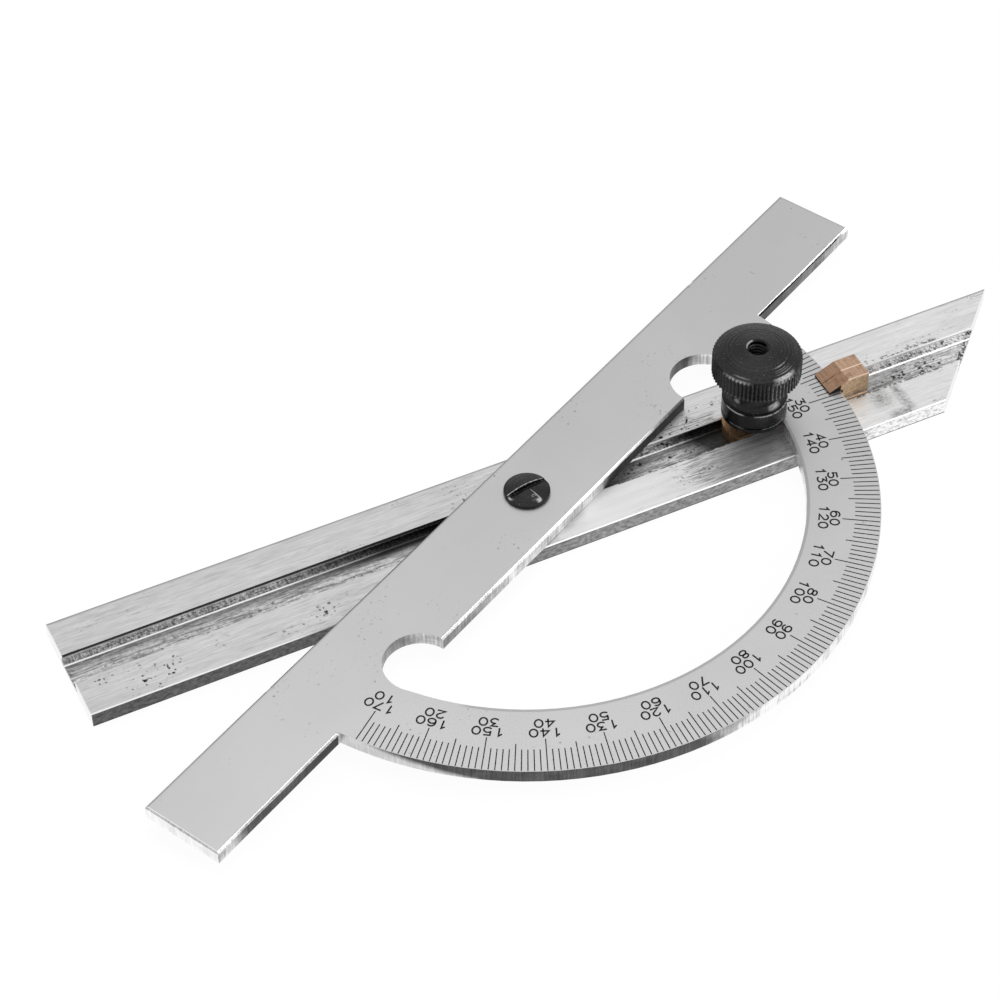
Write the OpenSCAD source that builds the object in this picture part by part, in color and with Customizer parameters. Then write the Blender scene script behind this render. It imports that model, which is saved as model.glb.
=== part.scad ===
// Angle ruler: a protractor plate that turns on a grooved rail and is clamped by a knurled knob.
// Frame: the rail's underside is z = 0 and runs along X, and the pivot axis is x = y = 0.

/* [Rail] */
// Length of the rail along its back edge
rail_l = 181.5; // [170:0.5:240]
// Distance from the pivot to the rail's square end
rail_tail = 83.2; // [60:0.1:90]
// Width of the rail
rail_w = 21.5; // [18:0.5:28]
// Thickness of the rail
rail_t = 3; // [2.8:0.1:5]
// Angle of the cut across the far end, from square
rail_cut = 45; // [0:1:50]
// Bevel along the rail's long top edges
rail_bevel = 0.3; // [0.1:0.05:0.6]

/* [Dovetail groove] */
// Width of the groove between its lips
groove_w = 5.6; // [5.4:0.1:7]
// Depth of the groove under its lips
groove_d = 2.1; // [1.8:0.1:2.3]
// Angle of the flanks from the floor
groove_angle = 60; // [55:1:75]
// Width of the relief channel in the floor
relief_w = 5; // [3:0.1:6]
// Depth of the relief channel below the floor
relief_d = 0.2; // [0.1:0.05:0.3]
// Bevel on the groove's lips
lip_bevel = 0.15; // [0.05:0.05:0.3]

/* [Protractor plate] */
// Length of the straight bar
bar_l = 178; // [150:1:220]
// Width of the straight bar
bar_w = 15; // [13:0.5:17]
// Thickness of the plate
plate_t = 2.5; // [1.5:0.1:4]
// Outer radius of the arc
arc_out_r = 60; // [57:0.5:62]
// Inner radius of the arc
arc_in_r = 47.5; // [45:0.5:49]
// Distance from the pivot to the window's straight edge
web_edge = 8.7; // [8.6:0.1:10]
// Radius of the two relief notches
notch_r = 6.15; // [5:0.05:6.3]
// Bevel along the bar's top edges
plate_bevel = 0.35; // [0.1:0.05:0.6]
// Depth by which the notches bite into the arc's inner edge
notch_bite = 0.1; // [0.05:0.01:0.2]
// Reading of the scale, the angle between the bar and the rail
reading = 27; // [10:1:170]

/* [Pivot screw] */
// Diameter of the screw's head
pivot_head_d = 8; // [6.5:0.1:10]
// Height of the head's rim
pivot_rim_h = 0.5; // [0.3:0.1:1.5]
// Rise of the head's dome above its rim
pivot_dome_h = 0.8; // [0.4:0.1:1.2]
// Diameter of the shoulder that the plate turns on
pivot_shoulder_d = 5; // [4:0.1:6]
// Core diameter of the pivot thread
pivot_core_d = 3.3; // [2.5:0.1:3.8]
// Width of the driver slot
pivot_slot_w = 1.1; // [0.6:0.1:1.6]
// Depth of the driver slot from the top of the dome
pivot_slot_d = 0.95; // [0.5:0.05:1.1]
// Direction of the driver slot, from the rail
pivot_slot_angle = 8; // [-90:1:90]

/* [Pivot nut] */
// Length of the dovetail nut
nut_l = 12; // [9:0.5:20]

/* [Index slide] */
// Distance from the arc's inner edge to the clamp's axis
stud_inset = 3.5; // [2.5:0.1:4.5]
// Radius of the foot's rounded inner end
foot_nose_r = 5.4; // [4:0.1:7]
// Length of the block outside the arc
block_l = 5.15; // [3:0.05:10]
// Height of the block above the plate
block_rise = 2; // [1:0.1:4]
// Length of the block's slope that lies outside the arc
ridge_back = 1.05; // [0.2:0.05:2]
// Reach of the tongue over the scale
tongue_reach = 2.3; // [1:0.1:4]
// Thickness of the tongue's tip
tongue_tip_t = 0.3; // [0.15:0.05:0.6]
// Width of the scribed index line
index_line_w = 0.16; // [0.1:0.02:0.4]
// Length of the scribed index line
index_line_l = 3; // [1:0.1:4.5]
// Depth of the scribed index line
index_line_d = 0.08; // [0.04:0.01:0.12]

/* [Clamp stud] */
// Diameter of the stud's flat head
stud_head_d = 6; // [5:0.1:6.4]
// Thickness of the stud's flat head
stud_head_t = 0.9; // [0.6:0.1:1.1]
// Core diameter of the clamp thread
stud_core_d = 3.3; // [2.5:0.1:4]
// Height of the stud's top above the plate
stud_rise = 11.5; // [8:0.1:13]

/* [Clamp washer] */
// Diameter of the washer
washer_d = 11.4; // [9:0.1:14]
// Thickness of the washer
washer_t = 0.7; // [0.4:0.1:1.5]

/* [Clamp knob] */
// Diameter of the knob's collar
collar_d = 11.4; // [10:0.1:14]
// Height of the knob's collar
collar_h = 3.2; // [2:0.1:4]
// Bevel under the collar
collar_bevel = 0.35; // [0.1:0.05:0.6]
// Diameter of the knob's neck
neck_d = 8.6; // [7:0.1:9]
// Height of the neck between the collar and the head
neck_h = 5.5; // [4.5:0.1:7]
// Diameter of the knob's head over the knurl
head_d = 15.5; // [13:0.1:20]
// Height of the head up to its rim
head_h = 4.4; // [3:0.1:7]
// Bevel around the head's rim
head_bevel = 0.5; // [0.2:0.05:0.8]
// Rise of the head's domed top
head_dome_h = 1.5; // [0.5:0.1:2.5]
// Number of knurl ridges
knurl_n = 66; // [40:1:90]
// Depth of the knurl's grooves
knurl_d = 0.35; // [0.15:0.05:0.5]
// Width of the countersink at the mouth of the knob's bore
bore_bevel = 0.25; // [0.1:0.05:0.5]

/* [Clearances] */
// Running clearance between the dovetails and the groove
slide_play = 0.05; // [0.02:0.01:0.1]
// Clearance between the slide's block and the groove's lips, each side
block_play = 0.2; // [0.1:0.05:0.6]
// Gap between flat faces that slide on each other
lay_gap = 0.05; // [0.02:0.01:0.1]
// Radial clearance of turning and threaded pieces
turn_play = 0.05; // [0.02:0.01:0.1]
// Clearance between the arc's outer edge and the slide's block
arc_play = 0.4; // [0.2:0.05:0.8]

/* [Hidden] */
$fn = 180;

// Extra length of a cutting shape beyond the face that it cuts
over = 1;

// Heights
floor_z = rail_t - groove_d;
foot_z = floor_z + lay_gap;
foot_top = rail_t - lay_gap;
plate_z = rail_t + lay_gap;
plate_top = plate_z + plate_t;
washer_z = plate_top + lay_gap;
knob_z = washer_z + washer_t;

// Places along the rail
rail_nose = rail_l - rail_tail;
stud_x = arc_in_r - stud_inset;
block_in = arc_out_r + arc_play;
block_out = block_in + block_l;
tip_x = arc_out_r - tongue_reach;
ridge_x = block_in + ridge_back;

// Dovetail flanks: how far a flank leans for its height, and the play measured along Y
flank_lean = 1 / tan(groove_angle);
flank_play = slide_play / sin(groove_angle);

// Relief notches, centred on the window's straight edge, which just bite into the arc's inner edge
notch_reach = arc_in_r - notch_r + notch_bite;
notch_x = sqrt(pow(notch_reach, 2) - pow(web_edge, 2));
notch_touch_y = web_edge * arc_in_r / notch_reach;

// Half the groove's width at height z
function groove_half(z) = groove_w / 2 + (rail_t - z) * flank_lean;

// Radius of a sphere whose cap has the given base radius and rise
function cap_r(base, rise) = (base * base + rise * rise) / (2 * rise);

// Cross-section of one side of the rail, from its outer edge to the groove's slanted flank
module way_section() {
    half = rail_w / 2;
    polygon([
        [groove_half(0), 0], [half, 0], [half, rail_t - rail_bevel], [half - rail_bevel, rail_t],
        [groove_w / 2 + lip_bevel, rail_t], [groove_half(rail_t - lip_bevel), rail_t - lip_bevel]
    ]);
}

// Cross-section of the groove's floor, between the slanted flanks
module floor_section() {
    foot = groove_half(0);
    floor_half = groove_half(floor_z);
    polygon([
        [-foot, 0], [foot, 0], [floor_half, floor_z],
        [relief_w / 2, floor_z], [relief_w / 2, floor_z - relief_d],
        [-relief_w / 2, floor_z - relief_d], [-relief_w / 2, floor_z], [-floor_half, floor_z]
    ]);
}

// Plan of the rail: square at the tail, cut at an angle at the nose
module rail_plan() {
    half = rail_w / 2;
    polygon([
        [-rail_tail, -half - over], [-rail_tail, half], [rail_nose, half],
        [rail_nose - (rail_w + over) * tan(rail_cut), -half - over]
    ]);
}

// Extrudes a YZ section along X, from x0 to x1
module along_x(x0, x1) {
    translate([x0, 0, 0]) rotate([90, 0, 90]) linear_extrude(x1 - x0) children();
}

// Extrudes an XZ section along Y, centred, with the given width
module across_y(width) {
    translate([0, width / 2, 0]) rotate([90, 0, 0]) linear_extrude(width) children();
}

// Runs a section of the rail along X and trims it to the rail's plan
module rail_part() {
    intersection() {
        along_x(-rail_tail, rail_nose) children();
        translate([0, 0, -over]) linear_extrude(rail_t + 2 * over) rail_plan();
    }
}

// The rail's two ways and its floor meet face to face, so that the groove between them stays open
module rail_back_way() {
    color("gainsboro")
    rail_part() way_section();
}

module rail_front_way() {
    color("gainsboro")
    rail_part() mirror([1, 0, 0]) way_section();
}

module rail_floor() {
    color("gainsboro")
    rail_part() floor_section();
}

// Cross-section of the pieces that run in the groove, in the YZ plane
module dovetail_section() {
    low = groove_half(foot_z) - flank_play;
    high = groove_half(foot_top) - flank_play;
    polygon([[-low, foot_z], [low, foot_z], [high, foot_top], [-high, foot_top]]);
}

// Flat slab with bevelled top edges, from z = 0 up to the plate's thickness
module bevelled_slab(length, width) {
    intersection() {
        along_x(-length / 2, length / 2) slab_section(width);
        across_y(width) slab_section(length);
    }
}

module slab_section(width) {
    half = width / 2;
    polygon([
        [-half, 0], [half, 0], [half, plate_t - plate_bevel], [half - plate_bevel, plate_t],
        [-half + plate_bevel, plate_t], [-half, plate_t - plate_bevel]
    ]);
}

// Web between the bar and the window, with its bevelled straight edge
module window_web() {
    along_x(-arc_in_r, arc_in_r) polygon([
        [0, 0], [-web_edge, 0], [-web_edge, plate_t - plate_bevel],
        [-web_edge + plate_bevel, plate_t], [0, plate_t]
    ]);
}

// Fills the corner between a notch and the arc, up to where they touch
module notch_corners() {
    for (side = [-1, 1]) {
        translate([side > 0 ? notch_x : -arc_in_r, -notch_touch_y, 0])
            cube([arc_in_r - notch_x, notch_touch_y - web_edge + plate_bevel, plate_t]);
    }
}

module notch_cuts() {
    for (side = [-1, 1]) translate([side * notch_x, -web_edge, -over])
        cylinder(h = plate_t + 2 * over, r = notch_r);
}

module arc_ring() {
    rotate([0, 0, 180]) rotate_extrude(angle = 180)
        translate([arc_in_r, 0]) square([arc_out_r - arc_in_r, plate_t]);
}

module protractor_plate() {
    color("silver")
    translate([0, 0, plate_z]) rotate([0, 0, reading])
    difference() {
        union() {
            bevelled_slab(bar_l, bar_w);
            arc_ring();
            window_web();
            notch_corners();
        }
        notch_cuts();
        translate([0, 0, -over])
            cylinder(h = plate_t + 2 * over, d = pivot_shoulder_d + 2 * turn_play);
    }
}

module pivot_nut() {
    color("darkgray")
    difference() {
        along_x(-nut_l / 2, nut_l / 2) dovetail_section();
        cylinder(h = rail_t, d = pivot_core_d + 2 * turn_play);
    }
}

// Head with a straight rim and a domed top, cut by the driver slot
module pivot_head() {
    ball = cap_r(pivot_head_d / 2, pivot_dome_h);
    difference() {
        intersection() {
            cylinder(h = pivot_rim_h + pivot_dome_h, d = pivot_head_d);
            translate([0, 0, pivot_rim_h + pivot_dome_h - ball]) sphere(r = ball);
        }
        rotate([0, 0, pivot_slot_angle])
            translate([-pivot_head_d, -pivot_slot_w / 2, pivot_rim_h + pivot_dome_h - pivot_slot_d])
            cube([2 * pivot_head_d, pivot_slot_w, pivot_slot_d + over]);
    }
}

module pivot_screw() {
    color("dimgray")
    union() {
        translate([0, 0, washer_z]) pivot_head();
        translate([0, 0, foot_top]) cylinder(h = washer_z - foot_top, d = pivot_shoulder_d);
        translate([0, 0, foot_z]) cylinder(h = washer_z - foot_z, d = pivot_core_d);
    }
}

// Foot of the index slide, in the groove, with its inner end rounded about the clamp's axis
module slide_foot() {
    nose_start = stud_x - foot_nose_r;
    intersection() {
        along_x(nose_start, block_out) dovetail_section();
        union() {
            translate([stud_x, 0, 0]) cylinder(h = rail_t, r = foot_nose_r);
            translate([stud_x, -rail_w / 2, 0]) cube([block_out - stud_x + over, rail_w, rail_t]);
        }
    }
}

// Block outside the arc and the tongue that slopes down over the scale
module slide_block() {
    tongue_z = plate_top + lay_gap;
    block_top = plate_top + block_rise;
    across_y(groove_w - 2 * block_play) polygon([
        [block_in, foot_z], [block_out, foot_z], [block_out, block_top], [ridge_x, block_top],
        [tip_x, tongue_z + tongue_tip_t], [tip_x, tongue_z], [block_in, tongue_z]
    ]);
}

// Line scribed up the tongue's slope from its tip
module index_line() {
    slope = atan2(block_rise - lay_gap - tongue_tip_t, ridge_x - tip_x);
    translate([tip_x, 0, plate_top + lay_gap + tongue_tip_t]) rotate([0, -slope, 0])
        translate([-over, -index_line_w / 2, -index_line_d])
        cube([over + index_line_l, index_line_w, over]);
}

module index_slide() {
    color("peru")
    difference() {
        union() {
            slide_foot();
            slide_block();
        }
        index_line();
        translate([stud_x, 0, 0]) {
            cylinder(h = rail_t, d = stud_core_d + 2 * turn_play);
            cylinder(h = foot_z + stud_head_t + lay_gap, d = stud_head_d + 2 * turn_play);
        }
    }
}

module clamp_stud() {
    color("slategray")
    translate([stud_x, 0, 0]) union() {
        translate([0, 0, foot_z]) cylinder(h = stud_head_t, d = stud_head_d);
        translate([0, 0, foot_z]) cylinder(h = plate_top + stud_rise - foot_z, d = stud_core_d);
    }
}

module clamp_washer() {
    color("dimgray")
    translate([stud_x, 0, washer_z]) difference() {
        cylinder(h = washer_t, d = washer_d);
        translate([0, 0, -over]) cylinder(h = washer_t + 2 * over, d = stud_core_d + 2 * turn_play);
    }
}

// Half section of the knob's collar and neck
module knob_stem_section() {
    neck_r = neck_d / 2;
    fillet = collar_d / 2 - neck_r - collar_bevel;
    polygon([
        [0, 0], [collar_d / 2 - collar_bevel, 0], [collar_d / 2, collar_bevel],
        [collar_d / 2, collar_h], [0, collar_h]
    ]);
    square([neck_r, collar_h + neck_h]);
    difference() {
        translate([neck_r, collar_h]) square([fillet, fillet]);
        translate([neck_r + fillet, collar_h + fillet]) circle(r = fillet);
    }
}

// Ridges and grooves around the knob's head
module knurl_outline() {
    step = 360 / knurl_n;
    polygon([for (i = [0 : 2 * knurl_n - 1])
        (head_d / 2 - (i % 2) * knurl_d) * [cos(i * step / 2), sin(i * step / 2)]]);
}

// Knurled head between two 45 degree bevels, which run past the knurl, with a domed top
module knob_head() {
    crown_r = head_d / 2 - head_bevel;
    ball = cap_r(crown_r, head_dome_h);
    intersection() {
        linear_extrude(head_h + head_dome_h) knurl_outline();
        rotate_extrude() polygon([
            [0, 0], [crown_r, 0], [crown_r + 2 * head_bevel, 2 * head_bevel],
            [crown_r + 2 * head_bevel, head_h - 2 * head_bevel], [crown_r, head_h],
            [0, head_h + crown_r]
        ]);
        translate([0, 0, head_h + head_dome_h - ball]) sphere(r = ball);
    }
}

module clamp_knob() {
    knob_h = collar_h + neck_h + head_h + head_dome_h;
    bore_d = stud_core_d + 2 * turn_play;
    color("dimgray")
    translate([stud_x, 0, knob_z]) difference() {
        union() {
            rotate_extrude() knob_stem_section();
            translate([0, 0, collar_h + neck_h]) knob_head();
        }
        translate([0, 0, -over]) cylinder(h = knob_h + 2 * over, d = bore_d);
        translate([0, 0, knob_h - bore_bevel])
            cylinder(h = 2 * bore_bevel, d1 = bore_d, d2 = bore_d + 4 * bore_bevel);
    }
}

rail_back_way();
rail_front_way();
rail_floor();
protractor_plate();
pivot_nut();
pivot_screw();
index_slide();
clamp_stud();
clamp_washer();
clamp_knob();
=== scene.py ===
"""Looks of the angle ruler: finishes, degree scale, floor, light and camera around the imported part.

Lengths are in metres, in the part's own frame: the rail runs along X on z = 0, and the plate turns about Z.
Inside a finish, lengths are in mm in that frame, and a share is a number from 0 to 1 that says how far a
place belongs to something. Grey levels are 8-bit screen levels.
"""

import math
from collections import namedtuple

import bmesh
import bpy
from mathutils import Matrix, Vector


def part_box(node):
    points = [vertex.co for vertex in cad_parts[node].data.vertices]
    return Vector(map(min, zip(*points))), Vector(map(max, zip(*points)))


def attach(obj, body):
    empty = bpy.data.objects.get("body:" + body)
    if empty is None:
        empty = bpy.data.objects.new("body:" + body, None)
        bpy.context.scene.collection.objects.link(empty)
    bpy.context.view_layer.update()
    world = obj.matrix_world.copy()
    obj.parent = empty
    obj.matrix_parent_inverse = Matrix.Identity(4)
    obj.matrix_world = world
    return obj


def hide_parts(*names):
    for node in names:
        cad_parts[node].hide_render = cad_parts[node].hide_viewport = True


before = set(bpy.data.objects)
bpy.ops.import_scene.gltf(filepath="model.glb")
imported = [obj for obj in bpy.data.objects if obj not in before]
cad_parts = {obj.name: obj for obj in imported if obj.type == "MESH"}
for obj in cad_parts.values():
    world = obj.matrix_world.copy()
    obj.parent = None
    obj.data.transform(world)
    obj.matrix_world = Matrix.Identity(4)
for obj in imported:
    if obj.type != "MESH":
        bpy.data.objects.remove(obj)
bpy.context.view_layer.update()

MM = 0.001

# Places taken from the frame
way_low, way_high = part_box("rail_back_way")
floor_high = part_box("rail_floor")[1]
plate_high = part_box("protractor_plate")[1]
stud_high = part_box("clamp_stud")[1]
knob_low, knob_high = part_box("clamp_knob")

RAIL_HALF = way_high.y
RAIL_TOP = way_high.z
TAIL_X = way_low.x
NOSE_X = way_high.x
PLATE_TOP = plate_high.z
CLAMP_X = (knob_low.x + knob_high.x) / 2
STUD_TOP = stud_high.z
KNOB_TOP = knob_high.z

# The rail's section
LIP_HALF = 2.8 * MM
LIP_BEVEL = 0.3 * MM
FLOOR_Z = floor_high.z
FLOOR_HALF = LIP_HALF + (RAIL_TOP - FLOOR_Z) / math.tan(math.radians(60))
RELIEF_HALF = 2.5 * MM
RELIEF_DEPTH = 0.2 * MM
STEP_SLOPE = 0.12 * MM
EDGE_BEVEL = 0.22 * MM
END_BEVEL = 0.1 * MM

# The knob
COLLAR_RADIUS = 5.7 * MM
COLLAR_HEIGHT = 3.2 * MM
COLLAR_FOOT_BEVEL = 0.35 * MM
COLLAR_TOP_BEVEL = 0.1 * MM
NECK_RADIUS = 4.3 * MM
NECK_HEIGHT = 5.5 * MM
COVE_RADIUS = 5.45 * MM
COVE_HEIGHT = 2.4 * MM
COVE_STEPS = 10
HEAD_RADIUS = 7.75 * MM
HEAD_HEIGHT = 4.4 * MM
HEAD_FOOT_INSET = 0.5 * MM
HEAD_FOOT_RISE = 0.12 * MM
HEAD_RIM_INSET = 0.3 * MM
HEAD_RIM_DROP = 0.4 * MM
DOME_INSET = 0.1 * MM
DOME_STEPS = 16
MOUTH_RADIUS = 1.95 * MM
BORE_RADIUS = 1.7 * MM
KNURL_RIDGES = 66
KNURL_DEPTH = 0.35 * MM
KNURL_TOOTH = (0.0, 0.5, 1.0, 0.5)
SHARP_ANGLE = 24

# The thread in the knob's bore
THREAD_BORE = 1.72 * MM
THREAD_CREST = 1.52 * MM
THREAD_PITCH = 0.7 * MM
THREAD_RISE = 0.24 * MM
THREAD_FOOT = STUD_TOP + 0.4 * MM
THREAD_TOP = KNOB_TOP - 0.55 * MM
THREAD_STEPS = 36

# The degree scale
READING = 27.0
ARC_RADIUS = 60 * MM
MARK_OUTER = ARC_RADIUS - 0.15 * MM
MARK_INNER = {10: 53.5 * MM, 5: 54.5 * MM, 1: 55.6 * MM}
MARK_WIDTH = 0.18 * MM
FIRST_DEGREE, LAST_DEGREE, HALF_TURN = 10, 170, 180
DIGIT_HALF_WIDTH = 0.64
DIGIT_HEIGHT = 1.52
DIGIT_STEP = 1.82 * MM
DIGIT_STROKE = 0.29 * MM
SHARPEST_MITRE = 0.45
SAME_POINT = 0.004 * MM
OUTER_ROW, INNER_ROW = 51.5 * MM, 49.6 * MM
INK_PROUD = 0.02 * MM
INK_SUNK = 0.01 * MM

# The photograph's camera
CAMERA_PLACE = Vector((-154.19, -317.54, 382.63)) * MM
CAMERA_TURN = (42.962, 0.615, -25.815)
SENSOR_MM = 36.0
LENS_MM = 109.37
NEAREST, FARTHEST = 0.01, 20.0

# The floor's half side, its paper's grey, and the white glow that hides most of the paper where it is seen
FLOOR_REACH = 6.0
FLOOR_GREY = 0.88
FLOOR_GLOW = 1.08
FLOOR_HIDDEN = 0.86

# The world's even light, and the soft lights: place, side in metres and power in watts
WORLD_LIGHT = 0.55
LIGHTS = {
    "light_top": ((0.1, 0.15, 0.7), 0.5, 0.9),
    "light_right": ((0.64, -0.28, 0.3), 0.14, 0.6),
    "light_left": ((-0.7, 0.2, 0.22), 0.14, 0.3),
    "light_front": ((0.42, -0.52, 0.45), 0.14, 0.5),
}

# Painted highlights on the black pieces: bright broken rings and gleams. Lengths are in mm, heights count
# from the plate's face, and directions are in degrees about the piece's own axis.
RingHighlight = namedtuple("RingHighlight", "radius height middle half")
Gleam = namedtuple("Gleam", "middle half inner outer low high share")
KNOB_RING_HIGHLIGHTS = (
    RingHighlight(1.9, 15.2, 125, 30), RingHighlight(5.65, 3.9, -78, 34), RingHighlight(5.65, 3.9, -158, 14),
    RingHighlight(5.65, 0.85, -72, 26), RingHighlight(5.65, 0.85, -152, 8),
)
KNOB_GLEAMS = (
    Gleam(-79, 13, 7.1, 7.5, 12.95, 20, 1.0), Gleam(-74, 12, 5.0, 6.9, 12.95, 20, 0.5),
    Gleam(-142, 10, 6.85, 6.95, 12.95, 20, 0.3), Gleam(-148, 16, 7.5, 7.75, 13.55, 13.75, 0.65),
    Gleam(-164, 7, 4.2, 4.8, 5.15, 5.45, 0.5), Gleam(-74, 12, 4.3, 5.1, 4.35, 4.75, 0.85),
)
SCREW_GLEAMS = (
    Gleam(-70, 2, 0.9, 3.4, -3, 20, 0.8), Gleam(-82, 12, 1.6, 3.3, -3, 20, 0.55),
    Gleam(-78, 6, 3.1, 3.6, -3, 20, 1.0), Gleam(-170, 9, 3.35, 3.6, -3, 20, 0.9),
)
KNURL_CREST = 7.6
SCREW_SLOT = (8, 0.56)
KNOB_RING_PITCH, SCREW_RING_PITCH = 0.34, 0.3

# How far from 0.5 a noise mostly reaches, for narrow and wide use of it
NARROW, WIDE = 0.16, 0.2


def srgb(red, green=None, blue=None):
    """Linear colour of 8-bit screen levels, or of one grey level."""
    levels = (red, red, red) if green is None else (red, green, blue)
    linear = []
    for level in levels:
        share = level / 255
        linear.append(share / 12.92 if share <= 0.04045 else ((share + 0.055) / 1.055) ** 2.4)
    return (*linear, 1.0)


class Finish:
    """A material's node tree, with short calls for the nodes that the finishes share. Lengths are in mm."""

    def __init__(self, name, turn=0.0, centre=(0.0, 0.0)):
        self.material = bpy.data.materials.new(name)
        self.material.use_nodes = True
        self.tree = self.material.node_tree
        self.tree.nodes.clear()
        output = self.add("ShaderNodeOutputMaterial")
        self.surface = output.inputs["Surface"]
        coordinates = self.add("ShaderNodeTexCoord")
        moved = self.vector("SUBTRACT", coordinates.outputs["Object"], (*centre, 0.0))
        turned = self.add("ShaderNodeVectorRotate", rotation_type="Z_AXIS")
        self.tree.links.new(moved, turned.inputs["Vector"])
        turned.inputs["Angle"].default_value = -math.radians(turn)
        self.place = self.vector("MULTIPLY", turned.outputs["Vector"], (1000.0, 1000.0, 1000.0))
        self.x, self.y, self.z = self.split(self.place)
        normal = self.add("ShaderNodeVectorRotate", rotation_type="Z_AXIS")
        self.tree.links.new(coordinates.outputs["Normal"], normal.inputs["Vector"])
        normal.inputs["Angle"].default_value = -math.radians(turn)
        self.nx, self.ny, self.nz = self.split(normal.outputs["Vector"])

    def add(self, kind, **settings):
        node = self.tree.nodes.new(kind)
        for key, value in settings.items():
            setattr(node, key, value)
        return node

    def feed(self, socket, value):
        """Links a socket to another one, or sets its own value."""
        if isinstance(value, bpy.types.NodeSocket):
            self.tree.links.new(value, socket)
        else:
            socket.default_value = value

    def split(self, vector):
        node = self.add("ShaderNodeSeparateXYZ")
        self.feed(node.inputs[0], vector)
        return node.outputs

    def vector(self, operation, a, b):
        node = self.add("ShaderNodeVectorMath", operation=operation)
        self.feed(node.inputs[0], a)
        self.feed(node.inputs[1], b)
        return node.outputs["Vector"]

    def math(self, operation, a, b=0.0, clamp=False):
        node = self.add("ShaderNodeMath", operation=operation, use_clamp=clamp)
        self.feed(node.inputs[0], a)
        self.feed(node.inputs[1], b)
        return node.outputs[0]

    def noise(self, stretch, detail=3.0, rough=0.5, offset=(0.0, 0.0, 0.0)):
        """Noise from 0 to 1 whose grains are about stretch mm long in X, Y and Z."""
        scaled = self.vector("DIVIDE", self.place, tuple(stretch))
        node = self.add("ShaderNodeTexNoise", noise_dimensions="3D")
        self.feed(node.inputs["Vector"], self.vector("ADD", scaled, tuple(offset)))
        node.inputs["Scale"].default_value = 1.0
        node.inputs["Detail"].default_value = detail
        node.inputs["Roughness"].default_value = rough
        return node.outputs[0]

    def specks(self, spacing, size, offset=(0.0, 0.0, 0.0), ragged=0.5):
        """1 in small spots about spacing mm apart and 0 between them, of uneven size and outline."""
        cells = self.add("ShaderNodeTexVoronoi", feature="F1")
        scaled = self.vector("DIVIDE", self.place, (spacing, spacing, spacing))
        self.feed(cells.inputs["Vector"], self.vector("ADD", scaled, tuple(offset)))
        cells.inputs["Scale"].default_value = 1.0
        grain = self.noise((spacing * 0.5,) * 3, detail=2.0, offset=offset)
        uneven = self.remap(grain, 0.3, 0.7, -ragged * size / spacing, ragged * size / spacing)
        distance = self.math("ADD", cells.outputs["Distance"], uneven)
        return self.remap(distance, size / spacing, size / spacing * 0.5, 0.0, 1.0)

    def remap(self, value, low, high, to_low=0.0, to_high=1.0):
        node = self.add("ShaderNodeMapRange", clamp=True)
        for socket, given in zip(node.inputs, (value, low, high, to_low, to_high)):
            self.feed(socket, given)
        return node.outputs[0]

    def between(self, value, low, high, soft):
        """1 where value lies between low and high, falling to 0 over soft outside them."""
        rise = self.remap(value, low - soft, low)
        fall = self.remap(value, high, high + soft, 1.0, 0.0)
        return self.math("MULTIPLY", rise, fall)

    def patch(self, x_low, x_high, y_low, y_high, soft):
        """1 inside a rectangle seen from above, falling to 0 over soft outside it."""
        across = self.between(self.y, y_low, y_high, soft)
        return self.math("MULTIPLY", self.between(self.x, x_low, x_high, soft), across)

    def spread(self, noise, to_low, to_high, reach=NARROW):
        """A noise's usual range about 0.5, brought to the range from to_low to to_high."""
        return self.remap(noise, 0.5 - reach, 0.5 + reach, to_low, to_high)

    def fold(self, operation, values):
        """The values joined one after the other."""
        result = values[0]
        for value in values[1:]:
            result = self.math(operation, result, value)
        return result

    def all_of(self, *shares):
        """The product of the shares or tones."""
        return self.fold("MULTIPLY", shares)

    def most_of(self, *shares):
        """The greatest of the shares or tones."""
        return self.fold("MAXIMUM", shares)

    def total(self, *values):
        return self.fold("ADD", values)

    def without(self, share, other):
        return self.math("MULTIPLY", share, self.math("SUBTRACT", 1.0, other))

    def radius(self):
        """Distance from the centre, seen from above."""
        return self.math("SQRT", self.total(self.all_of(self.x, self.x), self.all_of(self.y, self.y)))

    def direction(self):
        """Degrees anticlockwise about the centre, from the finish's own X."""
        return self.math("MULTIPLY", self.math("ARCTAN2", self.y, self.x), math.degrees(1))

    def mix(self, share, a, b):
        node = self.add("ShaderNodeMix", data_type="RGBA")
        self.feed(node.inputs["Factor"], share)
        sockets = [s for s in node.inputs if s.type == "RGBA"]
        self.feed(sockets[0], a)
        self.feed(sockets[1], b)
        return [s for s in node.outputs if s.type == "RGBA"][0]

    def shade(self, colour, value):
        """The colour with its lightness multiplied by value."""
        node = self.add("ShaderNodeVectorMath", operation="SCALE")
        self.feed(node.inputs[0], colour[:3] if isinstance(colour, tuple) else colour)
        self.feed(node.inputs["Scale"], value)
        return node.outputs["Vector"]

    def darken(self, colour, share, tone):
        """The colour, multiplied by tone where the share is 1."""
        return self.shade(colour, self.remap(share, 0, 1, 1.0, tone))

    def bump(self, height, distance, strength=1.0, under=None):
        node = self.add("ShaderNodeBump")
        node.inputs["Distance"].default_value = distance * MM
        node.inputs["Strength"].default_value = strength
        self.feed(node.inputs["Height"], height)
        if under is not None:
            self.feed(node.inputs["Normal"], under)
        return node.outputs["Normal"]

    def finish(self, colour, roughness, metallic=1.0, normal=None, **fixed):
        shader = self.add("ShaderNodeBsdfPrincipled")
        self.feed(shader.inputs["Base Color"], colour)
        self.feed(shader.inputs["Roughness"], roughness)
        self.feed(shader.inputs["Metallic"], metallic)
        if normal is not None:
            self.feed(shader.inputs["Normal"], normal)
        for key, value in fixed.items():
            shader.inputs[key].default_value = value
        self.feed(self.surface, shader.outputs[0])
        return self.material


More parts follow.
